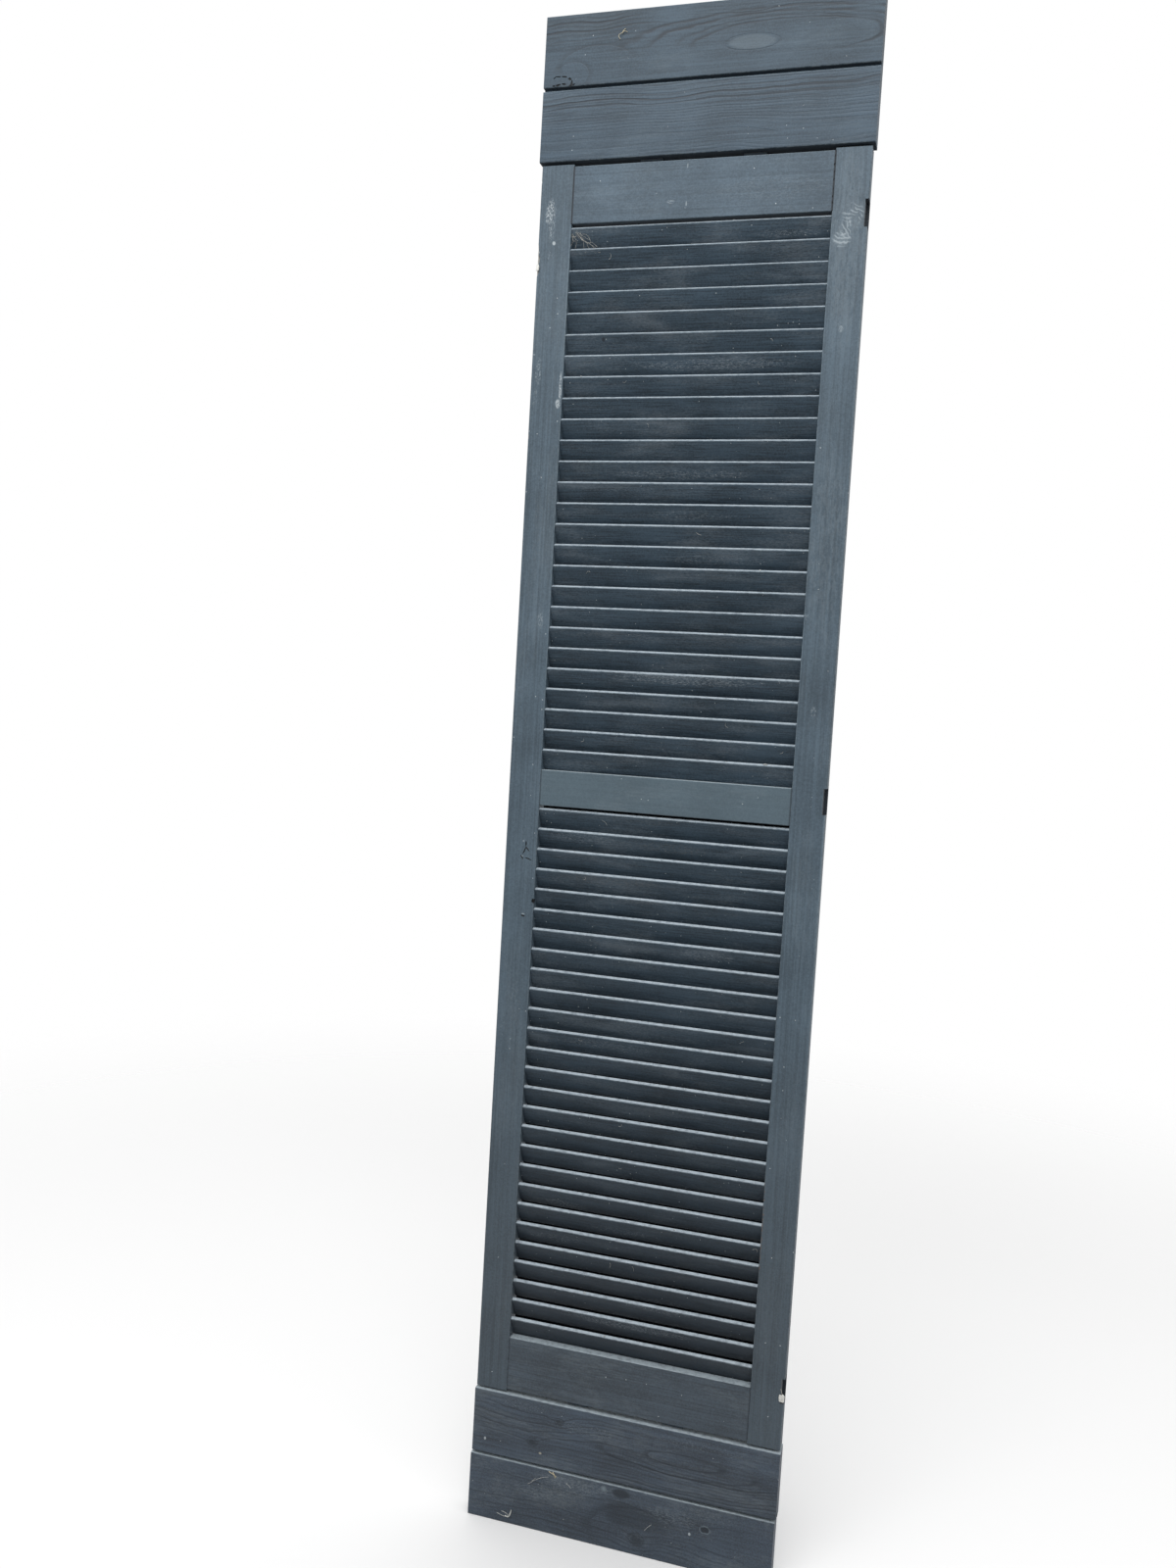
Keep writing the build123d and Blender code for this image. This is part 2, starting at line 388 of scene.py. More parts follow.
paintBasics = {
    "colour": (0.076, 0.109, 0.139, 1),
    "worn": (0.19, 0.235, 0.265, 1),        # rubbed at the arrises, with a painted highlight there, and the pale of knot rims and ring middles
    # dust, and the painted highlight that faces looking upwards take
    "dust": (0.33, 0.385, 0.42, 1),
    "speck": (0.52, 0.57, 0.59, 1),
    "dark": (0.022, 0.028, 0.036, 1),       # knots, growth lines, open joints, and painted shade on undersides and in the hinge gains
    "stretch": alongX,
    "streakShare": 0.35,                    # of the grain in the uneven tone
    "depth": 0.22,
    "cloudStretch": (7.0, 7.0, 22.0),
    "cloudFine": (60.0, 300.0, 300.0),
    "cloudShare": 0.11,
    "settledShare": 0.95,
    "arrisShare": 0.55,
    "undersideShare": 0.8,
    "speckSpacing": 0.010,
    "speckShare": 0.25,
    "speckWidth": 0.055,
    "roughness": 0.50,
    "gloss": 0.3,                           # the shader's specular level, 0.5 for plain varnish
    "relief": 0.0001,
    "slope": 0,
    "shadeShare": 0.92,
    "grime": (0.048, 0.050, 0.053, 1),      # painted shade, darker towards the bottom
    "grimeShare": 0.45,
    "grimeRise": (0.95, 0.25),
    "toneEdges": (0.36, 0.64),
    "fibreRise": 0.6,                       # what the fibres, rims and scuffs add to the relief
    "rimRise": -1.2,
    "scuffRise": 0.6,
    "rimShare": 0.5,
    "lineGrit": (25.0, 25.0, 25.0),         # of the edge of a patch of growth lines
    "undersideEdges": (-0.95, -0.7),
    "fibreRough": 0.12,                     # what each adds to the roughness
    "cloudRough": 0.12,
    "dustRough": 0.1,
    "undersideRough": 0.5,
}


def shadeOf(colour, factor):
    return tuple(part * factor for part in colour[:3]) + (1,)


def insideBox(tree, point, low, high):
    parts = partsOf(tree, point)
    inside = 1.0
    for axis, start, end in zip("XYZ", low, high):
        within = calc(tree, "COMPARE", parts[axis], (start + end) / 2, (end - start) / 2)
        inside = times(tree, inside, within)
    return inside


def showWood(tree, point, look, colour, height, figures, rings, knots):
    # What shows of the wood through the paint: knots, growth lines that bend round them, and rings
    dark = look["dark"]
    bend = 0.0
    for one in knots:
        shape = place(tree, knot, point, Middle=one["middle"], Radius=one["radius"])
        bend = plus(tree, bend, shape["Bend"])
        colour = layOver(tree, colour, shape["Core"], one["depth"], dark)
        rimColour = look["worn"] if one.get("paleRim") else dark
        colour = layOver(tree, colour, shape["Rim"], look["rimShare"], rimColour)
        height = plus(tree, height, times(tree, shape["Rim"], look["rimRise"]))
    for one in figures:
        line = place(tree, boardFigure, point, Heart=one["heart"], Length=one["length"],
                     Depth=one["under"], Pitch=one["pitch"], Wander=one["wander"], Bend=bend)["Line"]
        within = place(tree, rubbedMark, point, Middle=one["middle"], Reach=one["reach"],
                       Grit=look["lineGrit"])["Whole"]
        line = times(tree, line, within)
        colour = layOver(tree, colour, line, one["depth"], dark)
        height = minus(tree, height, line)
    for one in rings:
        shape = place(tree, growthRing, point, Middle=one["middle"], Reach=one["reach"],
                      Towards=one["towards"], Open=one["opening"], Width=one["width"])
        colour = layOver(tree, colour, shape["Line"], one["depth"], dark)
        if "pale" in one:
            colour = layOver(tree, colour, shape["Inside"], one["pale"], look["worn"])
        height = minus(tree, height, shape["Line"])
    return colour, height


def paintFinish(name, settings, marks=(), scuffs=(), figures=(), rings=(), knots=(), darkBoxes=()):
    look = {**paintBasics, **settings}
    material, tree, shader = newMaterial(name)
    point = objectPoint(tree)
    grain = place(tree, woodGrain, point, Stretch=look["stretch"])
    height = plus(tree, grain["Streak"], times(tree, grain["Fibre"], look["fibreRise"]))

    uneven = times(tree, place(tree, unevenPaint, point)["Tone"], 1 - look["streakShare"])
    tone = plus(tree, times(tree, grain["Streak"], look["streakShare"]), uneven)
    spread = 1.5 * look["depth"]
    darker, lighter = shadeOf(look["colour"], 1 - spread), shadeOf(look["colour"], 1 + spread)
    colour = mixColour(tree, fade(tree, tone, *look["toneEdges"]), darker, lighter)
    clouds = place(tree, cloudyPatch, point, Stretch=look["cloudStretch"], Fine=look["cloudFine"])["Mask"]
    colour = layOver(tree, colour, clouds, look["cloudShare"], look["dust"])
    rough = plus(tree, look["roughness"], times(tree, grain["Fibre"], look["fibreRough"]))
    rough = plus(tree, rough, times(tree, clouds, look["cloudRough"]))

    # Painted shade: the colour darkens towards the bottom
    lowShadeTop, lowShadeFull = look["grimeRise"]
    grime = fade(tree, partsOf(tree, point)["Z"], lowShadeTop, lowShadeFull, high=look["grimeShare"])
    colour = mixColour(tree, grime, colour, look["grime"])
    colour, height = showWood(tree, point, look, colour, height, figures, rings, knots)

    # Painted shade: faces that look downwards turn dark
    under = fadeOut(tree, normalParts(tree)["Z"], *look["undersideEdges"])
    under = times(tree, under, look["undersideShare"])
    colour = mixColour(tree, under, colour, look["dark"])
    # Wear and painted highlight on the arrises
    turn = math.radians(look["slope"])
    arris = place(tree, rubbedArris, point, Cosine=math.cos(turn), Sine=math.sin(turn))["Mask"]
    colour = layOver(tree, colour, arris, look["arrisShare"], look["worn"])
    # Dust and painted highlight on the faces that look upwards
    settled = times(tree, place(tree, settledDust, point)["Mask"], look["settledShare"])
    colour = mixColour(tree, settled, colour, look["dust"])
    rough = plus(tree, rough, times(tree, settled, look["dustRough"]))

    for mark in marks:
        rubbed = place(tree, rubbedMark, point, Middle=mark["middle"], Reach=mark["reach"],
                       Grit=mark["grit"], Fill=mark["fill"])["Mask"]
        colour = layOver(tree, colour, rubbed, mark["share"], mark.get("colour", look["dust"]))
        height = minus(tree, height, times(tree, rubbed, mark["dent"]))
    for scuff in scuffs:
        stroke = place(tree, scuffStrokes, point, Middle=scuff["middle"], Reach=scuff["reach"],
                       Hub=scuff["hub"], Spacing=scuff["spacing"], Fill=scuff["fill"])["Mask"]
        colour = layOver(tree, colour, stroke, scuff["share"], look["dust"])
        height = plus(tree, height, times(tree, stroke, look["scuffRise"]))
    for low, high in darkBoxes:
        colour = layOver(tree, colour, insideBox(tree, point, low, high), look["shadeShare"], look["dark"])

    rough = plus(tree, rough, times(tree, under, look["undersideRough"]))
    specks = place(tree, dustSpeck, point, Spacing=look["speckSpacing"], Share=look["speckShare"],
                   Width=look["speckWidth"])["Mask"]
    feed(tree, shader.inputs["Base Color"], mixColour(tree, specks, colour, look["speck"]))
    feed(tree, shader.inputs["Roughness"], rough)
    raiseSurface(tree, shader, height, look["relief"])
    shader.inputs["Specular IOR Level"].default_value = look["gloss"]
    return material


# What has happened to each piece's paint. A mark is given by its middle in x and z, half its width
# and height, the share of its colour and how far it is filled, and dust is its colour if none is given.

leafFace, leafDeep = -0.011, 0.01        # the y of a face, and how far a mark reaches into it
slatEdge, slatDeep = -0.008, 0.02
boardFace, boardDeep = -0.014, 0.02
figureDeep, ringDeep = 0.05, 0.034
upright = (800.0, 800.0, 300.0)      # the run of short rubbed strokes
level = (260.0, 1500.0, 1500.0)
softUpright = (300.0, 300.0, 90.0)
softLevel = (200.0, 500.0, 500.0)
palePaint = (0.42, 0.47, 0.50, 1)
darkPaint = (0.022, 0.028, 0.036, 1)
brownDust = (0.20, 0.18, 0.15, 1)


def marksAt(y, deep, grit=evenGrit):
    def mark(x, z, wide, high, share, fill, **own):
        return {"middle": (x, y, z), "reach": (wide, deep, high), "share": share, "fill": fill,
                "grit": grit, "dent": 0.3, **own}
    return mark


def scuffAt(x, z, wide, high, share, fill, hub, spacing):
    return {"middle": (x, leafFace, z), "reach": (wide, leafDeep, high), "share": share, "fill": fill,
            "hub": (hub[0], leafFace, hub[1]), "spacing": spacing}


def figureAt(heart, middle, reach, **own):
    # The heart of the tree, and the middle and half size of the part of the board where the lines show
    return {"heart": (heart[0], boardFace, heart[1]), "middle": (middle[0], boardFace, middle[1]),
            "reach": (reach[0], figureDeep, reach[1]), **own}


def ringAt(x, z, wide, high, width, depth, towards=straightUp, opening=-1.6, **own):
    # An opening below -1 leaves the ring closed, and a higher one opens it away from where it points
    return {"middle": (x, boardFace, z), "reach": (wide, ringDeep, high), "width": width, "depth": depth,
            "towards": towards, "opening": opening, **own}


leafMark = marksAt(leafFace, leafDeep)
slatMark = marksAt(slatEdge, slatDeep, level)
boardMark = marksAt(boardFace, boardDeep)

leftStileMarks = [
    leafMark(-0.206, 1.862, 0.0085, 0.018, 0.95, 0.62, grit=upright, colour=palePaint),
    leafMark(-0.203, 1.842, 0.0055, 0.020, 0.75, 0.55, grit=upright),
    leafMark(-0.199, 1.821, 0.0028, 0.0035, 0.9, 1.0, colour=palePaint),
    leafMark(-0.204, 1.805, 0.004, 0.010, 0.5, 0.45, grit=upright),
    leafMark(-0.211, 1.650, 0.0055, 0.026, 0.65, 0.55, grit=upright),
    leafMark(-0.214, 1.612, 0.004, 0.018, 0.6, 0.5, grit=upright),
    leafMark(-0.181, 1.606, 0.0040, 0.0080, 0.8, 0.8, colour=palePaint),
    leafMark(-0.1785, 1.626, 0.0022, 0.024, 0.8, 0.7, grit=upright, colour=palePaint),
    leafMark(-0.190, 1.9985, 0.002, 0.002, 0.8, 1.0),
    leafMark(-0.188, 1.308, 0.0055, 0.013, 0.45, 0.6, grit=upright),
    leafMark(-0.199, 1.430, 0.009, 0.070, 0.4, 0.4, grit=upright, colour=brownDust),
    leafMark(-0.1955, 0.9975, 0.0016, 0.0022, 0.6, 1.0, dent=0.0),
    leafMark(-0.1965, 0.9760, 0.0030, 0.0012, 0.6, 1.0, dent=0.0),
    leafMark(-0.1905, 0.8940, 0.0032, 0.0011, 0.8, 1.0, dent=0.0),
    leafMark(-0.1960, 0.7700, 0.009, 0.030, 0.3, 0.45, grit=upright),
    leafMark(-0.2120, 0.7300, 0.006, 0.022, 0.3, 0.45, grit=upright),
]
rightStileMarks = [
    leafMark(0.196, 1.700, 0.004, 0.007, 0.5, 0.55),
    leafMark(0.190, 1.809, 0.010, 0.011, 0.15, 0.9),
    leafMark(0.199, 1.800, 0.026, 0.150, 0.10, 0.75, grit=softUpright, dent=0.0),
    leafMark(0.199, 1.420, 0.026, 0.160, 0.09, 0.7, grit=softUpright, dent=0.0),
    marksAt(-0.0095, 0.0050)(0.1757, 0.500, 0.0018, 0.085, 0.75, 0.55, colour=(0.25, 0.15, 0.09, 1)),
    marksAt(0.0105, 0.0016)(0.2214, 0.330, 0.0016, 0.130, 0.8, 0.8, colour=brownDust),
    marksAt(0.0080, 0.0090)(0.2214, 1.080, 0.0020, 0.120, 0.5, 0.7, colour=(0.13, 0.12, 0.08, 1)),
    leafMark(0.179, 1.327, 0.004, 0.006, 0.35, 0.6, dent=0.0),
    leafMark(0.1965, 1.203, 0.005, 0.008, 0.35, 0.6, dent=0.0),
    leafMark(0.1974, 1.696, 0.003, 0.005, 0.4, 0.7, dent=0.0),
]
rightStileScuffs = [
    scuffAt(0.203, 1.840, 0.017, 0.018, 0.6, 0.8, hub=(0.188, 1.803), spacing=0.0044),
    scuffAt(0.198, 1.822, 0.014, 0.017, 0.6, 0.75, hub=(0.222, 1.837), spacing=0.0048),
    scuffAt(0.1900, 1.810, 0.0135, 0.0120, 0.8, 0.95, hub=(0.1935, 1.830), spacing=0.0050),
]
topRailMarks = [
    leafMark(-0.039, 1.868, 0.007, 0.003, 0.55, 0.6, grit=level),
    leafMark(-0.017, 1.865, 0.0012, 0.004, 0.6, 1.0),
    leafMark(-0.018, 1.914, 0.0011, 0.004, 0.6, 1.0),
    leafMark(0.100, 1.880, 0.090, 0.020, 0.12, 0.6, grit=level),
]
slatMarks = [
    slatMark(0.030, 1.656, 0.130, 0.009, 0.5, 0.55),
    slatMark(0.120, 1.823, 0.060, 0.006, 0.4, 0.55),
    slatMark(-0.005, 1.511, 0.115, 0.009, 0.45, 0.55),
    slatMark(0.010, 1.456, 0.080, 0.009, 0.35, 0.5),
    slatMark(0.050, 1.398, 0.090, 0.009, 0.35, 0.5),
    slatMark(0.020, 1.236, 0.110, 0.010, 0.5, 0.6),
    slatMark(0.020, 1.004, 0.070, 0.009, 0.45, 0.5, colour=brownDust),
    slatMark(-0.110, 1.008, 0.060, 0.009, 0.35, 0.55),
    slatMark(-0.080, 0.952, 0.080, 0.009, 0.35, 0.5, colour=brownDust),
    slatMark(0.075, 0.862, 0.045, 0.010, 0.4, 0.55),
    slatMark(-0.060, 0.720, 0.090, 0.010, 0.35, 0.5),
    slatMark(-0.120, 0.430, 0.050, 0.010, 0.4, 0.5),
    slatMark(0.040, 0.360, 0.060, 0.010, 0.4, 0.55),
    slatMark(0.070, 1.060, 0.110, 0.008, 0.4, 0.55),
    slatMark(-0.100, 1.075, 0.050, 0.008, 0.35, 0.5),
    slatMark(-0.110, 0.480, 0.050, 0.009, 0.4, 0.55),
    slatMark(-0.020, 0.455, 0.070, 0.009, 0.35, 0.5),
    slatMark(0.000, 0.325, 0.110, 0.009, 0.45, 0.55),
    slatMark(-0.1215, 1.691, 0.0028, 0.0036, 0.9, 1.0, colour=darkPaint),
]

# The hinge gains are dark inside, and so are the joints beside the stiles
gainShade = {
    "floor": -0.0002,            # both from the gain's floor
    "edge": 0.0046,
    "front": -0.0109,
    "back": 0.0094,
    "halfHeight": 0.0176,
}
gainBoxes = []
for mount in frame["record"]["mounts"]:
    if mount["name"].endswith("gain"):
        x, _, z = mount["pos_m"]
        low = (x + gainShade["floor"], gainShade["front"], z - gainShade["halfHeight"])
        high = (x + gainShade["edge"], gainShade["back"], z + gainShade["halfHeight"])
        gainBoxes.append((low, high))

slatTenon = 0.007                # how far a slat's tenons reach into the stiles
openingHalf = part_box("upper_slat_01")[1].x - slatTenon


def jointStrips(half, low, high, deep=0.02):
    return [((x - half, -deep, low), (x + half, deep, high)) for x in (-openingHalf, openingHalf)]


railJoints = jointStrips(half=0.0015, low=0.0, high=3.0)
topRailLow, topRailHigh = (corner.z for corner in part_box("top_rail"))
stileJoints = jointStrips(half=0.0011, low=topRailLow, high=topRailHigh)

uprightPaint = {"stretch": alongZ, "cloudStretch": (22.0, 22.0, 6.0), "cloudFine": (300.0, 300.0, 60.0)}
stileLeftPaint = paintFinish("slatePaintLeftStile", uprightPaint, leftStileMarks, darkBoxes=stileJoints)
stileRightPaint = paintFinish("slatePaintRightStile", uprightPaint, rightStileMarks, rightStileScuffs,
                              darkBoxes=gainBoxes + stileJoints)
topRailPaint = paintFinish("slatePaintTopRail", {
    "colour": (0.071, 0.104, 0.136, 1),
    "streakShare": 0.25,
}, topRailMarks, darkBoxes=railJoints)
midRailPaint = paintFinish("slatePaintMidRail", {
    "colour": (0.088, 0.126, 0.153, 1),
    "shadeShare": 0.6,
    "depth": 0.10,
    "streakShare": 0.2,
}, darkBoxes=railJoints)
bottomRailPaint = paintFinish("slatePaintBottomRail", {
    "colour": (0.062, 0.088, 0.116, 1),
    "shadeShare": 0.45,
    "cloudShare": 0.28,
    "depth": 0.32,
}, darkBoxes=railJoints)
slatPaint = paintFinish("slatePaintSlats", {
    # The slats' colour is set darker than the frame's paint, as painted shade on their down-facing faces
    "colour": (0.042, 0.066, 0.090, 1),
    "stretch": (22.0, 700.0, 700.0),
    "streakShare": 0.45,
    "depth": 0.36,
    "cloudStretch": (9.0, 30.0, 42.0),
    "cloudFine": (220.0, 900.0, 900.0),
    "cloudShare": 0.24,
    # the dust, and the painted highlight on the slats' front edges
    "dust": (0.38, 0.44, 0.49, 1),
    "undersideShare": 0.0,
    # painted shade, darker towards the bottom
    "grime": (0.026, 0.029, 0.035, 1),
    "grimeShare": 0.65,
    "speckSpacing": 0.007,
    "speckShare": 0.4,
    "speckWidth": 0.07,
    "slope": slopeDegrees,
}, slatMarks)

boardBasics = {"stretch": (7.0, 300.0, 300.0), "relief": 0.00016, "depth": 0.24}
topBoardLook = {**boardBasics, "colour": (0.042, 0.066, 0.090, 1)}
lowBoardLook = {**boardBasics, "colour": (0.062, 0.090, 0.128, 1), "cloudShare": 0.32, "depth": 0.38}
topBoardPaint = paintFinish("slatePaintTopBoard", {**topBoardLook, "settledShare": 0.45}, figures=[
    figureAt((0.20, 2.020), (-0.16, 2.098), (0.16, 0.026), length=18.0, under=0.030, pitch=0.0060,
             wander=0.012, depth=0.95),
    figureAt((0.10, 1.990), (0.10, 2.112), (0.20, 0.020), length=24.0, under=0.030, pitch=0.0046,
             wander=0.008, depth=0.6),
], rings=[
    ringAt(0.0586, 2.0645, 0.035, 0.0105, width=0.12, depth=0.25, pale=0.2),
    ringAt(0.102, 2.0665, 0.122, 0.0235, width=0.09, depth=0.8, towards=(0.3, 0.0, 0.95), opening=-0.75),
    ringAt(0.085, 2.0640, 0.170, 0.0350, width=0.09, depth=0.85, opening=-0.1),
    ringAt(0.095, 2.0650, 0.142, 0.0285, width=0.07, depth=0.6, towards=(0.1, 0.0, 1.0), opening=-0.3),
    ringAt(0.080, 2.0630, 0.205, 0.0425, width=0.07, depth=0.8, towards=(-0.2, 0.0, 1.0), opening=0.1),
    ringAt(-0.150, 2.0530, 0.052, 0.0240, width=0.25, depth=0.35, towards=(-0.3, 0.0, 0.95),
           opening=-0.3),
    ringAt(-0.185, 2.0400, 0.024, 0.0180, width=0.35, depth=0.35, towards=(0.6, 0.0, 0.8), opening=-0.4),
])
secondBoardLook = {**topBoardLook, "colour": (0.048, 0.074, 0.101, 1)}
secondBoardPaint = paintFinish("slatePaintSecondBoard", secondBoardLook, figures=[
    figureAt((0.05, 1.930), (-0.02, 2.006), (0.34, 0.019), length=26.0, under=0.010, pitch=0.0072,
             wander=0.010, depth=1.0),
    figureAt((-0.10, 1.950), (0.0, 1.975), (0.6, 0.12), length=26.0, under=0.012, pitch=0.0036,
             wander=0.006, depth=0.16),
])
thirdBoardPaint = paintFinish("slatePaintThirdBoard", lowBoardLook, marks=[
    boardMark(-0.050, 0.165, 0.060, 0.012, 0.35, 0.5, grit=level),
    boardMark(0.110, 0.178, 0.080, 0.009, 0.3, 0.5, grit=level),
    boardMark(-0.150, 0.180, 0.050, 0.008, 0.35, 0.5, grit=level),
    boardMark(-0.2034, 0.1197, 0.002, 0.003, 0.9, 1.0, colour=palePaint),
    boardMark(-0.1183, 0.116, 0.003, 0.002, 0.8, 1.0, colour=(0.42, 0.40, 0.33, 1)),
], figures=[
    figureAt((-0.30, 0.260), (0.10, 0.120), (0.22, 0.034), length=30.0, under=0.010, pitch=0.0050,
             wander=0.010, depth=0.95),
    figureAt((0.0, 0.260), (-0.12, 0.150), (0.16, 0.05), length=26.0, under=0.010, pitch=0.0060,
             wander=0.012, depth=0.6),
], rings=[
    ringAt(0.090, 0.151, 0.052, 0.0085, width=0.35, depth=0.85),
    ringAt(0.080, 0.147, 0.110, 0.0180, width=0.14, depth=0.6, towards=(0.0, 0.0, -1.0), opening=-0.5),
], knots=[
    {"middle": (-0.093, boardFace, 0.1680), "radius": 0.0052, "depth": 0.8},
    {"middle": (-0.1314, boardFace, 0.1298), "radius": 0.0058, "depth": 0.8},
])
lowestBoardLook = {**lowBoardLook, "streakShare": 0.2, "cloudStretch": (9.0, 9.0, 26.0),
                   "cloudFine": (140.0, 320.0, 320.0), "cloudShare": 0.36}
lowestBoardPaint = paintFinish("slatePaintLowestBoard", lowestBoardLook, marks=[
    boardMark(-0.060, 0.083, 0.075, 0.010, 0.2, 0.6, grit=softLevel, dent=0.0),
    boardMark(0.075, 0.066, 0.050, 0.013, 0.2, 0.6, grit=softLevel, dent=0.0),
    boardMark(-0.120, 0.058, 0.050, 0.012, 0.15, 0.6, grit=softLevel, dent=0.0),
    boardMark(0.030, 0.054, 0.060, 0.022, 0.55, 1.0, grit=(50.0, 50.0, 50.0), colour=darkPaint,
              dent=0.0),
    boardMark(0.004, 0.0845, 0.017, 0.0080, 0.85, 1.0, grit=(70.0, 70.0, 70.0), colour=darkPaint,
              dent=0.0),
    boardMark(-0.075, 0.075, 0.050, 0.020, 0.4, 0.5, grit=level),
    boardMark(0.120, 0.080, 0.060, 0.014, 0.3, 0.5, grit=level),
    boardMark(-0.170, 0.050, 0.040, 0.030, 0.3, 0.45, grit=level),
    boardMark(0.105, 0.050, 0.002, 0.003, 0.9, 1.0, colour=palePaint),
], figures=[
    figureAt((-0.03, -0.060), (0.0, 0.045), (0.30, 0.07), length=14.0, under=0.040, pitch=0.0052,
             wander=0.012, depth=0.45),
], rings=[
    ringAt(-0.0215, 0.0860, 0.0050, 0.0050, width=0.4, depth=0.0, pale=0.7),
    ringAt(-0.0215, 0.0860, 0.0030, 0.0030, width=0.3, depth=0.9),
    ringAt(0.030, 0.030, 0.070, 0.036, width=0.25, depth=0.45, towards=(-0.5, 0.0, 0.85), opening=-0.2),
], knots=[
    {"middle": (0.1264, boardFace, 0.0615), "radius": 0.0052, "depth": 0.95, "paleRim": True},
    {"middle": (0.0298, boardFace, 0.0224), "radius": 0.0085, "depth": 0.7},
])
print("paints mixed")


def plainFinish(name, colour, darker, stretch, roughness):
    material, tree, shader = newMaterial(name)
    grain = place(tree, woodGrain, objectPoint(tree), Stretch=stretch)
    share = fade(tree, grain["Streak"], 0.3, 0.7)
    feed(tree, shader.inputs["Base Color"], mixColour(tree, share, darker, colour))
    raiseSurface(tree, shader, grain["Fibre"], 0.0001)
    shader.inputs["Roughness"].default_value = roughness
    return material


def coatWhereSeen(material, spans, paint):
    # Paint has run over the short lengths of tenon that show between the boards and the leaf
    tree = material.node_tree
    base = tree.nodes["Principled BSDF"].inputs["Base Color"]
    bare = base.links[0].from_socket
    rise = partsOf(tree, objectPoint(tree))["Z"]
    seen = 0.0
    for low, high in spans:
        seen = plus(tree, seen, calc(tree, "COMPARE", rise, (low + high) / 2, (high - low) / 2))
    feed(tree, base, mixColour(tree, seen, bare, paint))


bareWood = plainFinish("bareSoftwood", (0.62, 0.46, 0.29, 1), (0.45, 0.31, 0.18, 1), alongZ, 0.7)
chippedWood = plainFinish("chippedUndercoat", (0.42, 0.41, 0.38, 1), (0.22, 0.22, 0.21, 1), alongZ, 0.8)
# The gouges, the torn corner and the crumbled joint are near black inside: painted shade in the hollows
gougedWood = plainFinish("gougedPaint", (0.020, 0.024, 0.028, 1), (0.010, 0.012, 0.015, 1), alongZ, 0.8)
lowerJoint = (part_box("bottom_board_inner")[1].z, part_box("bottom_rail")[0].z)
upperJoint = (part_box("top_rail")[1].z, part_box("top_board_inner")[0].z)
coatWhereSeen(bareWood, (lowerJoint, upperJoint), (0.05, 0.07, 0.09, 1))


# The wooden pieces

edgeRounding = {
    "leaf": 0.0003,
    "boards": 0.0006,
    "weld": 0.00001,
    "steps": 2,
    "fromDegrees": 30,           # an edge is rounded where its faces turn by this or more
}
finishes = {
    "top_rail": topRailPaint,
    "mid_rail": midRailPaint,
    "bottom_rail": bottomRailPaint,
    "stile_left": stileLeftPaint,
    "stile_right": stileRightPaint,
    "top_board_outer": topBoardPaint,
    "top_board_inner": secondBoardPaint,
    "bottom_board_inner": thirdBoardPaint,
    "bottom_board_outer": lowestBoardPaint,
    "loose_tenons": bareWood,
}


def roundEdges(piece, width):
    weld = piece.modifiers.new("weld", "WELD")
    weld.merge_threshold = edgeRounding["weld"]
    bevel = piece.modifiers.new("round", "BEVEL")
    bevel.width = width
    bevel.segments = edgeRounding["steps"]
    bevel.limit_method = "ANGLE"
    bevel.angle_limit = math.radians(edgeRounding["fromDegrees"])


for name, piece in nodes.items():
    piece.data.materials.clear()
    piece.data.materials.append(finishes.get(name, slatPaint))
    roundEdges(piece, edgeRounding["boards" if "board" in name else "leaf"])
print("wooden pieces painted")


# Chips and gouges, each a small rough lump taken out of a piece

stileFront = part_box("stile_left")[0].y
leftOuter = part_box("stile_left")[0].x
leftStileChips = {
    "seed": 3,
    "lumps": [
        # middle, half sizes, lean in degrees
        ((leftOuter - 0.0008, stileFront - 0.0008, 1.8120), (0.0034, 0.0034, 0.0080), 0),
        ((leftOuter - 0.0008, stileFront - 0.0008, 1.8000), (0.0040, 0.0036, 0.0095), 4),
        ((leftOuter - 0.0008, stileFront - 0.0006, 1.7860), (0.0036, 0.0034, 0.0080), -3),
        ((leftOuter, stileFront + 0.002, 1.902), (0.0012, 0.002, 0.0040), 0),
        ((leftOuter, stileFront, 1.560), (0.0011, 0.001, 0.0050), 0),
        ((leftOuter, stileFront, 1.210), (0.0011, 0.001, 0.0060), 0),
    ],
}
leftStileGouges = {
    "seed": 8,
    "lumps": [
        ((-0.1915, stileFront, 0.9938), (0.0010, 0.0024, 0.0040), 0),
        ((-0.1932, stileFront, 0.9842), (0.0009, 0.0010, 0.0056), 22),
        ((-0.1888, stileFront, 0.9865), (0.0009, 0.0010, 0.0042), -40),
        ((-0.1968, stileFront, 0.9745), (0.0009, 0.0010, 0.0034), -42),
        ((-0.1868, stileFront, 0.9728), (0.0050, 0.0010, 0.0009), 18),
        ((-0.1905, stileFront, 0.8912), (0.0030, 0.0014, 0.0014), 8),
        ((-0.1760, stileFront, 0.9140), (0.0034, 0.0060, 0.0030), 0),
    ],
}
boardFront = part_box("top_board_outer")[0].y
tornCorner = {
    "seed": 6,
    "lumps": [((x, boardFront, z), (long, 0.0012, high), lean) for x, z, long, high, lean in (
        (-0.2050, 2.0404, 0.0042, 0.0009, 6), (-0.1960, 2.0398, 0.0046, 0.0010, 10),
        (-0.1880, 2.0362, 0.0026, 0.0016, 35), (-0.1850, 2.0310, 0.0013, 0.0036, 4),
        (-0.1868, 2.0262, 0.0016, 0.0030, -20), (-0.1825, 2.0285, 0.0026, 0.0008, -24),
        (-0.2045, 2.0292, 0.0036, 0.0014, -8), (-0.1962, 2.0300, 0.0030, 0.0012, 12),
        (-0.2105, 2.0286, 0.0022, 0.0010, 0), (-0.2100, 2.0390, 0.0018, 0.0008, -30))],
}
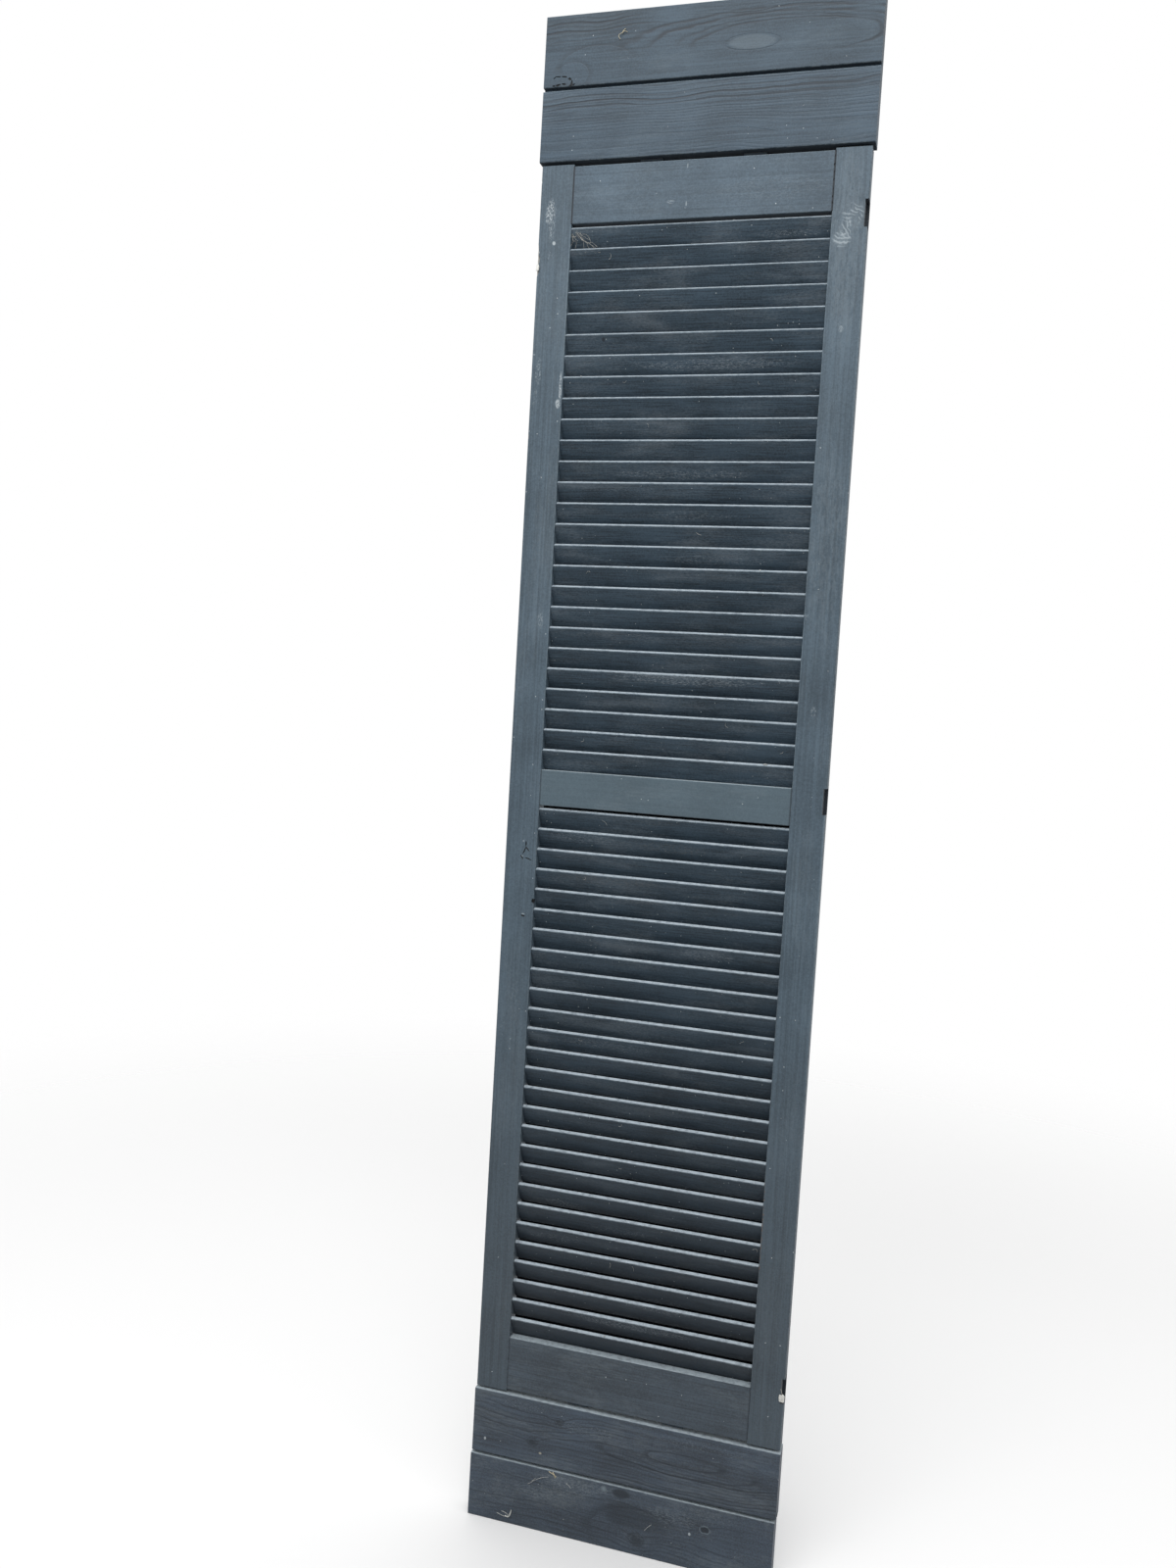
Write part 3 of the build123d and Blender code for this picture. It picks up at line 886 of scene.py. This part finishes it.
jointCrumbling = {
    "seed": 4,
    "lumps": [((openingHalf + shift, stileFront - 0.0003, z), (0.0011, 0.0014, long), 0)
              for shift, z, long in (
                  (0.0002, 1.9150, 0.0024), (-0.0004, 1.9040, 0.0018), (0.0003, 1.8950, 0.0026),
                  (0.0001, 1.8850, 0.0016), (0.0005, 1.8740, 0.0022), (0.0000, 1.8640, 0.0015),
                  (0.0003, 1.8560, 0.0018))],
}


lumpShape = {"broad": 0.35, "broadScale": 1.7, "fine": 0.12, "fineScale": 5, "spread": 50}


def lumpyBody(mesh, middle, sizes, lean, draw):
    look = lumpShape
    sphere = bmesh.ops.create_icosphere(mesh, subdivisions=3, radius=1.0)["verts"]
    shift = Vector([draw.random() * look["spread"] for _ in range(3)])
    turn = Matrix.Rotation(math.radians(lean), 3, "Y")
    for vert in sphere:
        broad = look["broad"] * noise.noise(vert.co * look["broadScale"] + shift)
        rough = 1 + broad + look["fine"] * noise.noise(vert.co * look["fineScale"] + shift)
        grown = Vector([part * size * rough for part, size in zip(vert.co, sizes)])
        vert.co = Vector(middle) + turn @ grown


def takeOut(piece, settings, name, material):
    draw = random.Random(settings["seed"])
    mesh = bmesh.new()
    for middle, sizes, lean in settings["lumps"]:
        lumpyBody(mesh, middle, sizes, lean, draw)
    data = keepMesh(name, mesh)
    data.materials.append(material)
    cutter = addObject(name, data)
    cutter.hide_render = True
    cutter.hide_viewport = True
    cut = piece.modifiers.new(name, "BOOLEAN")
    cut.operation = "DIFFERENCE"
    cut.solver = "EXACT"
    cut.object = cutter
    cut.use_self = True
    cut.material_mode = "TRANSFER"


takeOut(nodes["stile_left"], leftStileChips, "chips", chippedWood)
takeOut(nodes["stile_left"], leftStileGouges, "gouges", gougedWood)
takeOut(nodes["top_rail"], jointCrumbling, "jointCrumbling", gougedWood)
takeOut(nodes["top_board_outer"], tornCorner, "tornCorner", gougedWood)
print("chips cut")


# What has settled on the shutter: cobweb, fluff, hairs, threads, crumbs and two flakes of old paint

webFibre = plainFinish("cobweb", (0.58, 0.56, 0.50, 1), (0.40, 0.38, 0.34, 1), alongX, 0.9)
strawFibre = plainFinish("strawFluff", (0.62, 0.57, 0.42, 1), (0.42, 0.36, 0.24, 1), alongX, 0.8)
crumbGrain = (900.0, 900.0, 900.0)
paleCrumb = plainFinish("paleCrumbs", (0.52, 0.54, 0.53, 1), (0.28, 0.30, 0.31, 1), crumbGrain, 0.9)
flakeGrain = (500.0, 500.0, 500.0)
paleFlake = plainFinish("paleFlake", (0.80, 0.80, 0.77, 1), (0.58, 0.58, 0.54, 1), flakeGrain, 0.85)
paleFibre = plainFinish("paleWisp", (0.62, 0.63, 0.60, 1), (0.42, 0.43, 0.42, 1), alongX, 0.9)


def addPiece(name, data, material):
    data.materials.append(material)
    piece = addObject(name, data)
    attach(piece, "root")
    return piece


def addStrands(name, strands, thickness, material):
    data = bpy.data.curves.new(name, "CURVE")
    data.dimensions = "3D"
    data.bevel_depth = thickness / 2
    data.bevel_resolution = 2
    for points in strands:
        spline = data.splines.new("NURBS")
        spline.points.add(len(points) - 1)
        for target, source in zip(spline.points, points):
            target.co = (*source, 1.0)
        spline.order_u = 3
        spline.use_endpoint_u = True
    return addPiece(name, data, material)


def wisp(draw, start, end, points, wander):
    steps = []
    for k in range(points):
        share = k / (points - 1)
        swingHere = wander * math.sin(math.pi * share)
        aside = Vector([draw.uniform(-swingHere, swingHere) for _ in range(3)])
        steps.append(Vector(start).lerp(Vector(end), share) + aside)
    return steps


cobwebSettings = {
    "seed": 12,
    "depth": -0.0090,
    "drift": 0.0008,             # of the runs, before and behind that depth
    "thickness": 0.00022,
    "runs": [
        [(-0.1765, 1.8300), (-0.1700, 1.8295), (-0.1690, 1.8245), (-0.1650, 1.8235)],
        [(-0.1680, 1.8390), (-0.1675, 1.8345), (-0.1630, 1.8330), (-0.1590, 1.8300)],
        [(-0.1600, 1.8320), (-0.1550, 1.8325), (-0.1500, 1.8280), (-0.1470, 1.8210)],
        [(-0.1520, 1.8200), (-0.1500, 1.8125), (-0.1450, 1.8090), (-0.1390, 1.8065)],
        [(-0.1765, 1.8370), (-0.1700, 1.8400), (-0.1640, 1.8385), (-0.1610, 1.8400)],
        [(-0.1765, 1.8330), (-0.1710, 1.8260), (-0.1740, 1.8190), (-0.1765, 1.8150)],
    ],
    "extra": 8,
    "corner": (-0.1745, 1.8385),
    "cornerDepth": -0.0085,
    "cornerSpread": (0.012, 0.010),
    "spread": (0.034, 0.034),
    "wispPoints": 6,
    "wander": 0.004,
}


def makeCobweb(settings):
    draw = random.Random(settings["seed"])
    depth, drift = settings["depth"], settings["drift"]
    strands = []
    for run in settings["runs"]:
        strands.append([(x, depth + draw.uniform(-drift, drift), z) for x, z in run])
    cornerX, cornerZ = settings["corner"]
    nearX, nearZ = settings["cornerSpread"]
    reachX, reachZ = settings["spread"]
    for _ in range(settings["extra"]):
        start = (cornerX + draw.uniform(0, nearX), settings["cornerDepth"], cornerZ - draw.uniform(0, nearZ))
        end = (start[0] + draw.uniform(0, reachX), depth, start[2] - draw.uniform(0, reachZ))
        strands.append(wisp(draw, start, end, settings["wispPoints"], settings["wander"]))
    addStrands("cobweb", strands, settings["thickness"], webFibre)


makeCobweb(cobwebSettings)

boardHairs = {
    "boardFluff": {"thickness": 0.0007, "fibre": strawFibre, "hairs": [
        [(-0.1107, -0.0146, 2.0905), (-0.1140, -0.0158, 2.0926), (-0.1173, -0.0164, 2.0893),
         (-0.1215, -0.0162, 2.0878), (-0.1226, -0.0158, 2.0850), (-0.1197, -0.0147, 2.0822)],
        [(-0.1173, -0.0150, 2.0893), (-0.1165, -0.0158, 2.0935), (-0.1130, -0.0147, 2.0950)],
    ]},
    "lowestBoardStrands": {"thickness": 0.00038, "fibre": paleFibre, "hairs": [
        [(-0.1343, -0.0145, 0.0666), (-0.1290, -0.0150, 0.0705), (-0.1233, -0.0152, 0.0757),
         (-0.1103, -0.0150, 0.0832), (-0.1040, -0.0146, 0.0838)],
        [(-0.1290, -0.0145, 0.0722), (-0.1262, -0.0152, 0.0738), (-0.1228, -0.0146, 0.0784)],
        [(-0.0768, -0.0145, 0.0812), (-0.0720, -0.0150, 0.0790), (-0.0698, -0.0145, 0.0752)],
        [(0.0413, -0.0145, 0.0395), (0.0452, -0.0155, 0.0462), (0.0506, -0.0145, 0.0505)],
    ]},
    "beigeTuft": {"thickness": 0.0010, "fibre": strawFibre, "hairs": [
        [(-0.1036, -0.0145, 0.0925), (-0.0974, -0.0160, 0.0910), (-0.0928, -0.0158, 0.0894),
         (-0.0940, -0.0146, 0.0850)],
        [(-0.0980, -0.0145, 0.0930), (-0.0945, -0.0158, 0.0905), (-0.0960, -0.0155, 0.0880),
         (-0.0920, -0.0146, 0.0870)],
    ]},
    "lowerCornerWisp": {"thickness": 0.0005, "fibre": paleFibre, "hairs": [
        [(-0.1792, -0.0144, 0.0125), (-0.1718, -0.0152, 0.0108), (-0.1638, -0.0158, 0.0105),
         (-0.1591, -0.0156, 0.0151), (-0.1569, -0.0144, 0.0220)],
        [(-0.1720, -0.0145, 0.0165), (-0.1684, -0.0155, 0.0180), (-0.1620, -0.0152, 0.0140)],
    ]},
    "lowerCornerHook": {"thickness": 0.0013, "fibre": paleFibre, "hairs": [
        [(-0.1660, -0.0146, 0.0112), (-0.1625, -0.0156, 0.0098), (-0.1590, -0.0158, 0.0125),
         (-0.1574, -0.0152, 0.0175), (-0.1572, -0.0146, 0.0212)],
    ]},
}
for name, tuft in boardHairs.items():
    addStrands(name, tuft["hairs"], tuft["thickness"], tuft["fibre"])

slatStart = {"upper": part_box("upper_slat_01")[1].z, "lower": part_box("lower_slat_01")[1].z}
slatPitch = slatStart["upper"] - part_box("upper_slat_02")[1].z
slopeTurn = math.radians(slopeDegrees)
edgeMiddle = Vector((0, -0.00838, -0.0011))       # of a slat's front edge, from the slat's top
edgeNormal = Vector((0, -math.cos(slopeTurn), math.sin(slopeTurn)))


def onSlatEdge(field, slat, across):
    return Vector((across, 0, slatStart[field] - (slat - 1) * slatPitch)) + edgeMiddle


crumbSettings = {
    "seed": 21,
    "count": 70,
    "halfSpan": 0.170,
    "sizes": (0.0003, 0.0007),
    "length": (0.8, 1.8),        # this, the height and the place above the edge are shares of its size
    "height": (0.7, 1.1),
    "aboveEdge": 0.5,
    "lean": 20,
    # field, slat from the top, place across, size
    "seen": [
        ("upper", 8, -0.1500, 0.0009), ("upper", 5, -0.0620, 0.0007), ("upper", 11, 0.0360, 0.0008),
        ("upper", 17, 0.1135, 0.0010), ("upper", 26, 0.1370, 0.0014), ("upper", 26, 0.1400, 0.0010),
        ("lower", 25, -0.0677, 0.0012), ("lower", 26, -0.1093, 0.0009), ("lower", 27, -0.0354, 0.0010),
        ("lower", 21, 0.0551, 0.0011), ("lower", 16, 0.1291, 0.0009), ("lower", 3, -0.1200, 0.0007),
    ],
}


def makeCrumbs(settings):
    draw = random.Random(settings["seed"])
    mesh = bmesh.new()
    crumbs = list(settings["seen"])
    for _ in range(settings["count"]):
        field = draw.choice(("upper", "lower"))
        slat = draw.randint(1, 26)
        across = draw.uniform(-settings["halfSpan"], settings["halfSpan"])
        crumbs.append((field, slat, across, draw.uniform(*settings["sizes"])))
    for field, slat, across, size in crumbs:
        middle = onSlatEdge(field, slat, across) + edgeNormal * size * settings["aboveEdge"]
        sizes = (size * draw.uniform(*settings["length"]), size, size * draw.uniform(*settings["height"]))
        lumpyBody(mesh, middle, sizes, draw.uniform(-settings["lean"], settings["lean"]), draw)
    addPiece("crumbs", keepMesh("crumbs", mesh), paleCrumb)


makeCrumbs(crumbSettings)

slatThreadSettings = {
    "seed": 31,
    "count": 12,
    "thickness": 0.00032,
    "aboveFace": 0.0034,         # from the middle of a slat's thickness
    "lift": 0.0004,
    "halfSpan": 0.16,
    "drops": (0.006, 0.012),
    "lengths": (0.004, 0.008),
    "bow": 0.4,
    # field, slat from the top, place across, drop below its edge, length, lean in degrees, bow
    "seen": [
        ("lower", 1, -0.0802, 0.0130, 0.0100, 130, 0.10), ("upper", 25, -0.1193, 0.0120, 0.0070, 50, 0.30),
        ("lower", 23, -0.0343, 0.0100, 0.0110, 84, 0.12), ("lower", 23, -0.0003, 0.0090, 0.0100, 97, 0.10),
        ("lower", 21, 0.1680, 0.0100, 0.0075, 150, 0.70), ("upper", 2, -0.1200, 0.0100, 0.0080, 75, 0.30),
        ("upper", 8, -0.0880, 0.0060, 0.0060, 20, 0.25),
    ],
}


def makeSlatThreads(settings):
    draw = random.Random(settings["seed"])
    faceDown = Vector((0, -edgeNormal.y, -edgeNormal.z))
    faceOut = Vector((0, -edgeNormal.z, edgeNormal.y))
    span, bows = settings["halfSpan"], settings["bow"]
    threads = list(settings["seen"])
    for _ in range(settings["count"]):
        threads.append((draw.choice(("upper", "lower")), draw.randint(2, 26), draw.uniform(-span, span),
                        draw.uniform(*settings["drops"]), draw.uniform(*settings["lengths"]),
                        draw.uniform(0, 180), draw.uniform(-bows, bows)))
    strands = []
    for field, slat, across, drop, length, lean, bow in threads:
        middle = onSlatEdge(field, slat, across)
        middle += faceOut * settings["aboveFace"] + faceDown * drop
        turn = math.radians(lean)
        run = Vector((1, 0, 0)) * math.cos(turn) - faceDown * math.sin(turn)
        aside = run.cross(faceOut)
        strands.append([middle + run * length * (share - 0.5)
                        + aside * length * bow * math.sin(math.pi * share)
                        + faceOut * draw.uniform(0, settings["lift"]) for share in (0, 0.25, 0.5, 0.75, 1)])
    addStrands("slatThreads", strands, settings["thickness"], paleFibre)


makeSlatThreads(slatThreadSettings)

flakeSettings = {
    "seed": 5,
    "thickness": 0.0012,
    "unevenFront": 0.0004,
    "ripple": 0.0005,
    "rippleScale": 600,
    "rounding": 0.0002,
    # One is caught below the lowest hinge gain, and one on the left stile's chipped arris
    "flakes": [
        {"middle": (0.2188, -0.0114, 0.2703),
         "outline": [(-0.0034, -0.0050), (0.0018, -0.0056), (0.0034, -0.0044), (0.0036, 0.0036),
                     (0.0014, 0.0056), (-0.0012, 0.0040), (-0.0036, 0.0046), (-0.0042, 0.0004)]},
        {"middle": (-0.2206, -0.0116, 1.7890),
         "outline": [(-0.0018, -0.0044), (0.0020, -0.0040), (0.0026, 0.0010), (0.0006, 0.0060),
                     (-0.0014, 0.0022)]},
    ],
    "threadThickness": 0.0005,
    "threads": [
        [(0.2200, -0.0118, 0.2740), (0.2225, -0.0128, 0.2715), (0.2248, -0.0122, 0.2700)],
        [(0.2165, -0.0114, 0.2830), (0.2178, -0.0122, 0.2790), (0.2195, -0.0120, 0.2750)],
    ],
}


def makeFlakes(settings):
    draw = random.Random(settings["seed"])
    uneven = settings["unevenFront"]
    mesh = bmesh.new()
    for flake in settings["flakes"]:
        middle = Vector(flake["middle"])
        corners = [middle + Vector((x, -draw.uniform(0.0, uneven), z)) for x, z in flake["outline"]]
        face = mesh.faces.new([mesh.verts.new(corner) for corner in corners])
        for part in bmesh.ops.extrude_face_region(mesh, geom=[face])["geom"]:
            if isinstance(part, bmesh.types.BMVert):
                part.co.y -= settings["thickness"]
    bmesh.ops.recalc_face_normals(mesh, faces=mesh.faces)
    bmesh.ops.triangulate(mesh, faces=mesh.faces)
    bmesh.ops.subdivide_edges(mesh, edges=mesh.edges, cuts=2, use_grid_fill=True)
    for vert in mesh.verts:
        vert.co.y += settings["ripple"] * noise.noise(vert.co * settings["rippleScale"])
    flakes = addPiece("flakes", keepMesh("flakes", mesh), paleFlake)
    flakes.modifiers.new("round", "BEVEL").width = settings["rounding"]
    addStrands("flakeThread", settings["threads"], settings["threadThickness"], webFibre)


makeFlakes(flakeSettings)
print("settled bits added")


# Floor, light and background

stageSettings = {
    "floorRadius": 3.2,
    "floorSides": 96,
    "floorFade": (1.3, 3.1),
    "floorSeen": (0.78, 0.78, 0.78, 1),
    "floorLit": (0.16, 0.16, 0.16, 1),
    "skyUp": 1.2,
    "skyLevel": 0.62,
    "skyDown": 0.2,
    "skyEdges": (-0.25, 0.0, 0.9),        # heights at which its level turns
    "lampPlace": (-0.1, -1.5, 3.3),
    "lampAim": (0.0, 0.0, 1.2),
    "lampSize": (1.8, 1.4),
    "lampPower": 44,
    "darkBehind": 0.003,          # from the leaf to the dark backing
    "darkPastLeaf": 0.004,        # from the boards' edges to the backing's, above and below
    "darkPastOpening": 0.035,     # and on both sides of the opening
    "darkColour": (0.012, 0.013, 0.015, 1),
}


def makeStageSheet(name, corners):
    mesh = bpy.data.meshes.new(name)
    mesh.from_pydata(corners, [], [tuple(range(len(corners)))])
    addObject(name, mesh)
    material, tree, shader = newMaterial(name)
    mesh.materials.append(material)
    shader.inputs["Roughness"].default_value = 0.9
    shader.inputs["Specular IOR Level"].default_value = 0.0
    return tree, shader


def seenDirectly(tree):
    rays = put(tree, "ShaderNodeLightPath").outputs
    mirrored = calc(tree, "MAXIMUM", rays["Is Glossy Ray"], rays["Is Transmission Ray"])
    return calc(tree, "MAXIMUM", rays["Is Camera Ray"], mirrored)


def makeFloor(settings):
    radius, sides = settings["floorRadius"], settings["floorSides"]
    turns = [math.tau * k / sides for k in range(sides)]
    tree, shader = makeStageSheet("floor", [(radius * math.cos(t), radius * math.sin(t), 0.0) for t in turns])
    colour = mixColour(tree, seenDirectly(tree), settings["floorLit"], settings["floorSeen"])
    feed(tree, shader.inputs["Base Color"], colour)
    start, end = settings["floorFade"]
    alpha = fadeOut(tree, lengthOf(tree, objectPoint(tree)), start, end)
    feed(tree, shader.inputs["Alpha"], alpha)


def makeDarkBacking(settings):
    # Where the slats let the eye through, it finds an unlit space.
    # The backing is there for the camera alone and from the front alone.
    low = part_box("bottom_board_inner")[1].z - settings["darkPastLeaf"]
    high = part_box("top_board_inner")[0].z + settings["darkPastLeaf"]
    side = settings["darkPastOpening"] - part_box("stile_left")[1].x
    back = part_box("stile_left")[1].y + settings["darkBehind"]
    corners = [(-side, back, low), (side, back, low), (side, back, high), (-side, back, high)]
    tree, shader = makeStageSheet("darkBacking", corners)
    shader.inputs["Base Color"].default_value = settings["darkColour"]
    seen = put(tree, "ShaderNodeLightPath").outputs["Is Camera Ray"]
    front = minus(tree, 1.0, put(tree, "ShaderNodeNewGeometry").outputs["Backfacing"])
    feed(tree, shader.inputs["Alpha"], times(tree, seen, front))


def makeSky(settings):
    world = bpy.data.worlds.new("sky")
    world.use_nodes = True
    bpy.context.scene.world = world
    tree = world.node_tree
    background = tree.nodes["Background"]
    upwards = partsOf(tree, put(tree, "ShaderNodeTexCoord").outputs["Generated"])["Z"]
    lowest, middle, highest = settings["skyEdges"]
    above = fade(tree, upwards, middle, highest, settings["skyLevel"], settings["skyUp"])
    below = fade(tree, upwards, lowest, middle, settings["skyDown"] - settings["skyLevel"], 0.0)
    strength = plus(tree, above, below)
    white = times(tree, minus(tree, 1.0, strength), seenDirectly(tree))
    feed(tree, background.inputs["Strength"], plus(tree, strength, white))
    background.inputs["Color"].default_value = (1, 1, 1, 1)


def makeLamp(settings):
    data = bpy.data.lights.new("softLamp", "AREA")
    data.shape = "RECTANGLE"
    data.size, data.size_y = settings["lampSize"]
    data.energy = settings["lampPower"]
    lamp = addObject("softLamp", data)
    lamp.location = settings["lampPlace"]
    aim = Vector(settings["lampAim"]) - Vector(settings["lampPlace"])
    lamp.rotation_mode = "QUATERNION"
    lamp.rotation_quaternion = aim.to_track_quat("-Z", "Y")


makeFloor(stageSettings)
makeDarkBacking(stageSettings)
makeSky(stageSettings)
makeLamp(stageSettings)
bpy.context.scene.view_settings.view_transform = "Standard"
print("stage set")
